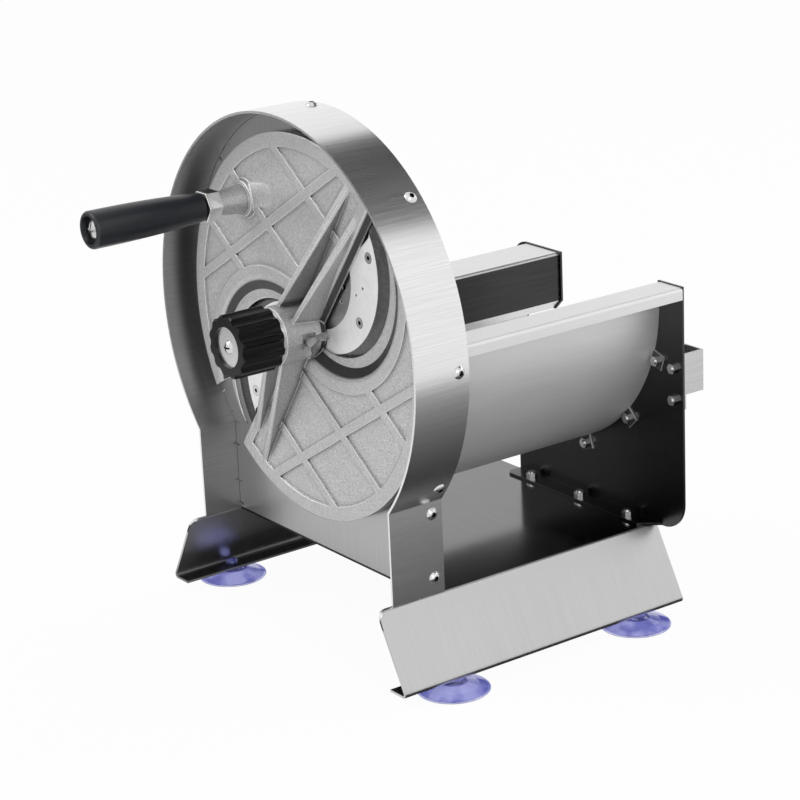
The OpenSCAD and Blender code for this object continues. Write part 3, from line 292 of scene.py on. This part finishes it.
def castMaterial(name, look):
    material, tree, shader, place = startMaterial(name)
    skin = placeGroup(tree, blastGroup, {"Place": place, "Size": look["size"]})
    edges = placeGroup(tree, edgeGroup, {"Width": look["edgeWidth"], "Gain": look["edgeGain"]})
    tone = blendValue(tree, look["cloudShare"], skin.outputs["Shade"], skin.outputs["Cloud"])
    color = blendColor(tree, tone, look["dark"], look["light"])
    # Painted shade in the cast plate's hollows, from ambient occlusion
    openness = crevice(tree, look["crevice"])
    hollow = spread(tree, openness, look["hollowLow"], look["hollowHigh"])
    color = blendColor(tree, hollow, look["deep"], color)
    # Painted shade on the steep walls of the openings behind the front face
    wall = paintedWallShadeMask(tree, place, look)
    color = blendColor(tree, wall, color, look["wall"])
    # Painted highlight on convex edges and painted shade in grooves
    outerEdge = spread(tree, openness, look["edgeLow"], look["edgeHigh"])
    edgeColor = blendColor(tree, outerEdge, look["groove"], look["edge"])
    edgeLit = blendColor(tree, edges.outputs["Edge"], color, edgeColor)
    tree.links.new(edgeLit, shader.inputs["Base Color"])
    skinRough = blendValue(tree, wall, look["rough"], look["wallRough"])
    rough = blendValue(tree, edges.outputs["Edge"], skinRough, look["edgeRough"])
    tree.links.new(rough, shader.inputs["Roughness"])
    blasted = roughenedBy(tree, skin.outputs["Shade"], look, {"Normal": edges.outputs["Normal"]})
    tree.links.new(blasted, shader.inputs["Normal"])
    shader.inputs["Metallic"].default_value = look["metallic"]
    return material


# Mask for the painted shade on the openings' steep walls
def paintedWallShadeMask(tree, place, look):
    behindFace = spread(tree, coordinate(tree, place, "Y"), look["wallFront"] - mm / 2, look["wallFront"])
    side = coordinate(tree, surfaceNormal(tree), "Y")
    flatness = addNode(tree, "ShaderNodeMath", {0: side}, operation="ABSOLUTE").outputs[0]
    return multiply(tree, behindFace, spread(tree, flatness, look["wallFlat"], look["wallSteep"]))


def plasticMaterial(name, look):
    material, tree, shader, place = startMaterial(name)
    skin = placeGroup(tree, blastGroup, {"Place": place, "Size": look["size"]})
    color = blendColor(tree, skin.outputs["Cloud"], look["dark"], look["light"])
    tree.links.new(color, shader.inputs["Base Color"])
    tree.links.new(roughnessFrom(tree, skin.outputs["Shade"], look), shader.inputs["Roughness"])
    tree.links.new(roughenedBy(tree, skin.outputs["Shade"], look), shader.inputs["Normal"])
    shader.inputs["Coat Weight"].default_value = look["coat"]
    shader.inputs["Coat Roughness"].default_value = look["coatRough"]
    shader.inputs["Specular IOR Level"].default_value = look["specular"]
    return material


def vinylMaterial(name, look):
    material, tree, shader, place = startMaterial(name)
    skin = placeGroup(tree, blastGroup, {"Place": place, "Size": look["size"]})
    turned = addNode(tree, "ShaderNodeLayerWeight", {"Blend": look["rim"]})
    ripple = addNode(tree, "ShaderNodeTexNoise", {"Vector": place, "Scale": look["ripple"]})
    uneven = spread(tree, ripple.outputs["Fac"], look["rippleLow"], look["rippleHigh"])
    share = blendValue(tree, look["rippleShare"], turned.outputs["Facing"], uneven)
    color = blendColor(tree, share, look["light"], look["dark"])
    tree.links.new(color, shader.inputs["Base Color"])
    tree.links.new(roughnessFrom(tree, skin.outputs["Cloud"], look), shader.inputs["Roughness"])
    shader.inputs["Transmission Weight"].default_value = look["clear"]
    shader.inputs["IOR"].default_value = look["ior"]
    shader.inputs["Coat Weight"].default_value = look["coat"]
    return material


acrossY = (20.0, 3600.0, 20.0)  # streaks that run round the hoop or down a side
acrossX = (2600.0, 40.0, 24.0)  # streaks that run up the panels
alongY = (1800.0, 20.0, 1800.0)  # streaks that run along the trough
turnedAll = (700.0, 900.0, 700.0)
turnedRound = (60.0, 1800.0, 60.0)
milledFace = (300.0, 900.0, 1300.0)
groundFace = (260.0, 600.0, 260.0)
ringsOut = (2400.0, 0.0, 0.0)
deckTop = ((0, 0, 1), 0.9, 0.97)
bladeFace = ((0, -1, 0), 0.997, 0.9995)
rightSide = ((1, 0, 0), 0.9, 0.98)
frontSide = ((0, -1, 0), 0.9, 0.98)


def metalLook(dark, light, rough, stretch, **more):
    look = dict(dark=dark, light=light, rough=rough, roughSpan=0.05, stretch=stretch,
                cloudShare=0.3, bump=0.2, bumpDepth=0.02 * mm, metallic=1.0)
    look.update(more)
    return look


metalLooks = {
    # base_frame: painted dark reflection on the deck top and painted shadow on the deck's front edge
    "brushedSheet": metalLook(grey(0.50), grey(0.62), 0.34, acrossY, bump=0.08, cloudShare=0.4,
                              other=dict(facing=deckTop, dark=grey(0.14), light=grey(0.20), rough=0.13),
                              shadowed=dict(facing=frontSide, above=45 * mm, color=grey(0.03))),
    "panelSheet": metalLook(grey(0.40), grey(0.52), 0.32, acrossX, bump=0.1),
    # hoop: painted shade on the inner face
    "hoopSheet": metalLook(grey(0.74), grey(0.86), 0.24, alongY, roughSpan=0.02, bump=0.02, cloudShare=0.1,
                           other=dict(dark=grey(0.38), light=grey(0.48), rough=0.36)),
    # trough: painted shade on the faces that turn to the front
    "troughSheet": metalLook(grey(0.78), grey(0.86), 0.5, alongY, bump=0.05, metallic=0.7,
                             other=dict(facing=frontSide, dark=grey(0.07), light=grey(0.12), rough=0.3)),
    # spindle cover: painted shade on the right-hand wall
    "coverSheet": metalLook(grey(0.66), grey(0.78), 0.3, alongY, bump=0.1,
                            other=dict(facing=rightSide, dark=grey(0.045), light=grey(0.07), rough=0.3)),
    "bracketSheet": metalLook(grey(0.50), grey(0.64), 0.28, alongY, bump=0.1),
    # rear plate: polished sheet painted almost black as painted shade
    "polishedPaintedShade": metalLook(grey(0.050), grey(0.075), 0.24, acrossX, cloudShare=0.5, bump=0.05),
    "machinedFace": metalLook(grey(0.34), grey(0.56), 0.36, milledFace, bump=0.5, bumpDepth=0.04 * mm),
    # blades: painted dark reflection on the bevels and edges, painted bright reflection on the flat face
    "bladeSteel": metalLook(grey(0.07), grey(0.12), 0.26, groundFace, bump=0.06, metallic=0.6,
                            other=dict(facing=bladeFace, dark=grey(0.90), light=grey(1.0), rough=0.55)),
    # screws: painted shade in the sockets and crevices
    "brightScrew": metalLook(grey(0.60), grey(0.78), 0.22, turnedAll, bump=0.1,
                             crevice=3 * mm, deep=grey(0.03)),
    "darkScrew": metalLook(grey(0.24), grey(0.38), 0.28, turnedAll, bump=0.1),
    "brightDisc": metalLook(grey(0.74), grey(0.94), 0.26, ringsOut, rings=True, bump=0.3),
    "turnedSteel": metalLook(grey(0.52), grey(0.68), 0.2, turnedRound),
    "bearingSteel": metalLook(grey(0.62), grey(0.76), 0.12, turnedAll, bump=0.05),
    "springSteel": metalLook(grey(0.30), grey(0.46), 0.3, turnedAll),
    "zincNut": metalLook(grey(0.80), grey(0.92), 0.2, turnedAll, bump=0.03),
    "bronze": metalLook((0.50, 0.33, 0.14, 1), (0.66, 0.46, 0.22, 1), 0.32, turnedAll),
    "brass": metalLook((0.60, 0.44, 0.17, 1), (0.78, 0.60, 0.28, 1), 0.24, turnedRound),
}
# cast plate: painted shade in hollows and on the openings' walls, painted highlight on convex edges, painted
# shade in grooves
castLook = dict(dark=grey(0.36), light=grey(0.80), deep=grey(0.10), wall=grey(0.06), edge=grey(1.0),
                groove=grey(0.12), rough=0.48, wallRough=0.26, edgeRough=0.34, metallic=0.85, size=1.0,
                cloudShare=0.1, crevice=5 * mm, hollowLow=0.4, hollowHigh=1.0, edgeLow=0.45, edgeHigh=0.72,
                wallFront=-9.4 * mm, wallFlat=0.995, wallSteep=0.97, edgeWidth=1.2 * mm, edgeGain=9.0,
                bump=0.7, bumpDepth=0.16 * mm)
gripLook = dict(dark=(0.010, 0.011, 0.015, 1), light=(0.017, 0.018, 0.024, 1), rough=0.34, roughSpan=0.05,
                size=0.8, bump=0.1, bumpDepth=0.04 * mm, coat=0.0, coatRough=0.1, specular=0.5)
knobLook = dict(dark=(0.004, 0.004, 0.005, 1), light=(0.009, 0.009, 0.010, 1), rough=0.22, roughSpan=0.04,
                size=0.8, bump=0.06, bumpDepth=0.03 * mm, coat=0.05, coatRough=0.12, specular=0.2)
vinylLook = dict(dark=(0.012, 0.02, 0.42, 1), light=(0.50, 0.51, 0.93, 1), rough=0.08, roughSpan=0.03,
                 rim=0.42, ripple=75.0, rippleShare=0.45, rippleLow=0.42, rippleHigh=0.6,
                 clear=0.85, ior=1.45, coat=0.3, size=0.3)

finishes = {name: metalMaterial(name, look) for name, look in metalLooks.items()}
finishes["castAluminium"] = castMaterial("castAluminium", castLook)
finishes["gripPlastic"] = plasticMaterial("gripPlastic", gripLook)
finishes["knobPlastic"] = plasticMaterial("knobPlastic", knobLook)
finishes["cupVinyl"] = vinylMaterial("cupVinyl", vinylLook)
print("materials made:", len(finishes))

finishOfNode = {
    "brushedSheet": ["base_frame"],
    "panelSheet": ["front_panel"],
    "hoopSheet": ["hoop"],
    "troughSheet": ["trough"],
    "coverSheet": ["spindle_cover"],
    "bracketSheet": ["rear_bracket"],
    "polishedPaintedShade": ["rear_plate"],
    "castAluminium": ["stop_plate"],
    "machinedFace": ["blade_carrier", "front_bearing_housing", "rear_bearing_housing"],
    "bladeSteel": ["upper_blade", "lower_blade"],
    "brightScrew": ["hoop_screws", "deck_screws", "deck_nuts", "trough_screws", "trough_nuts",
                    "bracket_screws", "bracket_nuts", "blade_screws", "blade_dowels",
                    "carrier_screws", "knob_screw"],
    "darkScrew": ["retaining_ring"],
    "brightDisc": ["knob_disc", "thrust_washer"],
    "turnedSteel": ["spindle", "crank_bolt", "drive_pins"],
    "bearingSteel": ["bearing_outer_races", "bearing_inner_races", "bearing_balls"],
    "springSteel": ["thrust_spring", "wing_screw"],
    "zincNut": ["crank_nut"],
    "bronze": ["sleeve_bush", "grip_bushes"],
    "brass": ["knob_insert"],
    "gripPlastic": ["crank_grip"],
    "knobPlastic": ["thickness_knob"],
}
for finish, names in finishOfNode.items():
    for name in names:
        parts[name].data.materials.clear()
        parts[name].data.materials.append(finishes[finish])
print("finishes given to nodes:", sum(len(names) for names in finishOfNode.values()))


# Softened edges on the flat sheets and the nut, so that they catch the light

softEdges = {
    "base_frame": 0.3 * mm,
    "spindle_cover": 0.25 * mm,
    "rear_plate": 0.25 * mm,
    "rear_bracket": 0.2 * mm,
    "crank_nut": 0.35 * mm,
}
softLook = {"weld": 0.002 * mm, "angle": 32.0, "segments": 2}

for name, width in softEdges.items():
    weld = parts[name].modifiers.new("weld", "WELD")
    weld.merge_threshold = softLook["weld"]
    bevel = parts[name].modifiers.new("softEdge", "BEVEL")
    bevel.width = width
    bevel.segments = softLook["segments"]
    bevel.limit_method = "ANGLE"
    bevel.angle_limit = math.radians(softLook["angle"])
    bevel.use_clamp_overlap = True
print("edges softened on nodes:", len(softEdges))


# Suction cups: clear flared skirts with a soft shoulder and a mushroom head

cups = {
    "sideways": 120.8,  # lengths here are in millimetres
    "rows": (2.0, 145.5),
    "segments": 72,
    "profile": [  # radius and height, from the head's top to the middle of the hollow
        (0, 11.85), (1.6, 11.8), (2.8, 11.3), (3.6, 10.5), (3.9, 9.7), (3.9, 8.95), (3.6, 8.74),
        (2.6, 8.72), (2.6, 7.16), (6.4, 7.16), (7.2, 6.9), (7.9, 6.3), (8.8, 5.65), (10.4, 4.95),
        (12.6, 4.1), (15.2, 3.15), (18.0, 2.2), (20.2, 1.5), (21.6, 1.15), (22.3, 0.75), (22.45, 0.35),
        (22.2, 0.0), (20.6, 0.0), (19.6, 0.25), (17.4, 0.95), (14.4, 1.85), (11.0, 2.85), (8.0, 3.7),
        (5.4, 4.25), (2.6, 4.4), (0, 4.4),
    ],
    "smoothAngle": 50.0,
}


def ringOfPoints(shape, radius, height, place, segments):
    points = []
    for i in range(segments if radius else 1):
        turn = math.tau * i / segments
        across = place[0] + radius * math.cos(turn)
        back = place[1] + radius * math.sin(turn)
        points.append(shape.verts.new((across * mm, back * mm, height * mm)))
    return points


def revolveInto(shape, profile, place, segments):
    rings = [ringOfPoints(shape, radius, height, place, segments) for radius, height in profile]
    for upper, lower in zip(rings, rings[1:]):
        for i in range(segments):
            steps = ((upper, i), (lower, i), (lower, i + 1), (upper, i + 1))
            corners = [ring[k % len(ring)] for ring, k in steps]
            shape.faces.new(list(dict.fromkeys(corners)))


def makeCups():
    shape = bmesh.new()
    for side in (-1, 1):
        for row in cups["rows"]:
            revolveInto(shape, cups["profile"], (side * cups["sideways"], row), cups["segments"])
    bmesh.ops.recalc_face_normals(shape, faces=shape.faces)
    mesh = bpy.data.meshes.new("clearCups")
    shape.to_mesh(mesh)
    shape.free()
    mesh.shade_smooth()
    mesh.set_sharp_from_angle(angle=math.radians(cups["smoothAngle"]))
    mesh.materials.append(finishes["cupVinyl"])
    piece = bpy.data.objects.new("clearCups", mesh)
    bpy.context.collection.objects.link(piece)
    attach(piece, "frame")
    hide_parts("suction_cups")


makeCups()
print("suction cups made")


# Studio: floor, lamps, dark cards that only the shiny metal sees, and the camera

studio = {
    "floorHalf": 6.0,
    "floorColor": grey(0.86),
    "floorRough": 0.9,
    "floorWhite": 0.955,
    "backdropWhite": 1.0,
    "worldLight": 0.62,
    "lampTarget": Vector((0.0, 0.08, 0.16)),
}
lamps = {
    "keyLamp": dict(place=(-0.9, -1.3, 1.5), size=0.9, power=11.0),
    "fillLamp": dict(place=(1.6, -0.7, 1.0), size=0.9, power=6.0),
    "backLamp": dict(place=(0.4, 1.6, 1.3), size=1.0, power=6.0),
}
cards = {
    "roofCard": dict(place=(0.10, 0.75, 1.15), width=1.15, height=0.75, lying=False, near=0.02, far=0.02),
    "floorCard": dict(place=(0.345, 0.14, 0.003), width=0.45, height=0.46, lying=True, near=0.02, far=0.45),
    # footCard: painted shade, standing in for the shaded floor under the machine in reflections
    "footCard": dict(place=(-0.04, 0.09, 0.002), width=0.24, height=0.30, lying=True, near=0.34, far=0.34),
    "frontCard": dict(place=(-1.00, -0.70, 0.002), width=0.96, height=1.10, lying=True, near=0.02, far=0.3),
}
cameraLook = {
    "place": Vector((1.2498, -0.8359, 0.6472)),
    "azimuth": 54.4,
    "elevation": 18.31,
    "roll": -2.58,
    "lens": 116.35,
    "sensor": 36.0,
    "nearest": 0.05,
    "farthest": 30.0,
}


def larger(tree, first, second):
    return addNode(tree, "ShaderNodeMath", {0: first, 1: second}, operation="MAXIMUM").outputs[0]


def whiteForView(tree, kind, strength):
    path = addNode(tree, "ShaderNodeLightPath")
    seen = larger(tree, path.outputs["Is Camera Ray"], path.outputs["Is Glossy Ray"])
    seen = larger(tree, seen, path.outputs["Is Transmission Ray"])
    white = addNode(tree, kind, {"Color": grey(1.0), "Strength": 1.0})
    return white.outputs[0], multiply(tree, seen, strength)


def flatMesh(name, halfWidth, halfHeight, material):
    mesh = bpy.data.meshes.new(name)
    corners = [(x * halfWidth, y * halfHeight, 0) for x, y in ((-1, -1), (1, -1), (1, 1), (-1, 1))]
    mesh.from_pydata(corners, [], [(0, 1, 2, 3)])
    mesh.materials.append(material)
    return mesh


def makeWorld():
    world = bpy.data.worlds.new("studioWorld")
    bpy.context.scene.world = world
    world.use_nodes = True
    tree = world.node_tree
    plain = tree.nodes["Background"]
    plain.inputs["Strength"].default_value = studio["worldLight"]
    plain.inputs["Color"].default_value = grey(1.0)
    white, share = whiteForView(tree, "ShaderNodeBackground", studio["backdropWhite"])
    mixed = addNode(tree, "ShaderNodeMixShader", {0: share, 1: plain.outputs[0], 2: white})
    tree.links.new(mixed.outputs[0], tree.nodes["World Output"].inputs["Surface"])


def makeFloor():
    material = bpy.data.materials.new("floorPaper")
    material.use_nodes = True
    tree = material.node_tree
    shader = tree.nodes["Principled BSDF"]
    shader.inputs["Base Color"].default_value = studio["floorColor"]
    shader.inputs["Roughness"].default_value = studio["floorRough"]
    shader.inputs["Specular IOR Level"].default_value = 0.0
    white, share = whiteForView(tree, "ShaderNodeEmission", studio["floorWhite"])
    mixed = addNode(tree, "ShaderNodeMixShader", {0: share, 1: shader.outputs[0], 2: white})
    tree.links.new(mixed.outputs[0], tree.nodes["Material Output"].inputs["Surface"])
    half = studio["floorHalf"]
    floor = bpy.data.objects.new("floor", flatMesh("floor", half, half, material))
    bpy.context.collection.objects.link(floor)


def aimedAt(place, target):
    return (Vector(target) - Vector(place)).to_track_quat("-Z", "Y").to_matrix().to_4x4()


def makeLamps():
    for name, look in lamps.items():
        data = bpy.data.lights.new(name, "AREA")
        data.size = look["size"]
        data.energy = look["power"]
        lamp = bpy.data.objects.new(name, data)
        lamp.matrix_world = Matrix.Translation(look["place"]) @ aimedAt(look["place"], studio["lampTarget"])
        bpy.context.collection.objects.link(lamp)


def makeCards():
    for name, look in cards.items():
        halfWidth = look["width"] / 2
        material, tree, shader, place = startMaterial(name)
        shade = spread(tree, coordinate(tree, place, "X"), -halfWidth, halfWidth, look["near"], look["far"])
        tree.links.new(shade, shader.inputs["Base Color"])
        shader.inputs["Roughness"].default_value = 1.0
        card = bpy.data.objects.new(name, flatMesh(name, halfWidth, look["height"] / 2, material))
        card.matrix_world = Matrix.Translation(look["place"])
        if not look["lying"]:
            card.matrix_world = card.matrix_world @ aimedAt(look["place"], studio["lampTarget"])
        card.visible_transmission = False
        card.visible_camera = False
        card.visible_diffuse = False
        card.visible_shadow = False
        bpy.context.collection.objects.link(card)


def makeCamera():
    azimuth = math.radians(cameraLook["azimuth"])
    elevation = math.radians(cameraLook["elevation"])
    roll = math.radians(cameraLook["roll"])
    back = Vector((math.sin(azimuth) * math.cos(elevation), -math.cos(azimuth) * math.cos(elevation),
                   math.sin(elevation)))
    level = Vector((math.cos(azimuth), math.sin(azimuth), 0))
    up = back.cross(level)
    right = math.cos(roll) * level + math.sin(roll) * up
    top = math.cos(roll) * up - math.sin(roll) * level
    data = bpy.data.cameras.new("camera")
    data.lens = cameraLook["lens"]
    data.sensor_width = cameraLook["sensor"]
    data.clip_start = cameraLook["nearest"]
    data.clip_end = cameraLook["farthest"]
    camera = bpy.data.objects.new("camera", data)
    turn = Matrix((right, top, back)).transposed().to_4x4()
    camera.matrix_world = Matrix.Translation(cameraLook["place"]) @ turn
    bpy.context.collection.objects.link(camera)
    bpy.context.scene.camera = camera


bpy.context.scene.view_settings.view_transform = "Standard"
makeWorld()
makeFloor()
makeLamps()
makeCards()
makeCamera()
print("studio made")
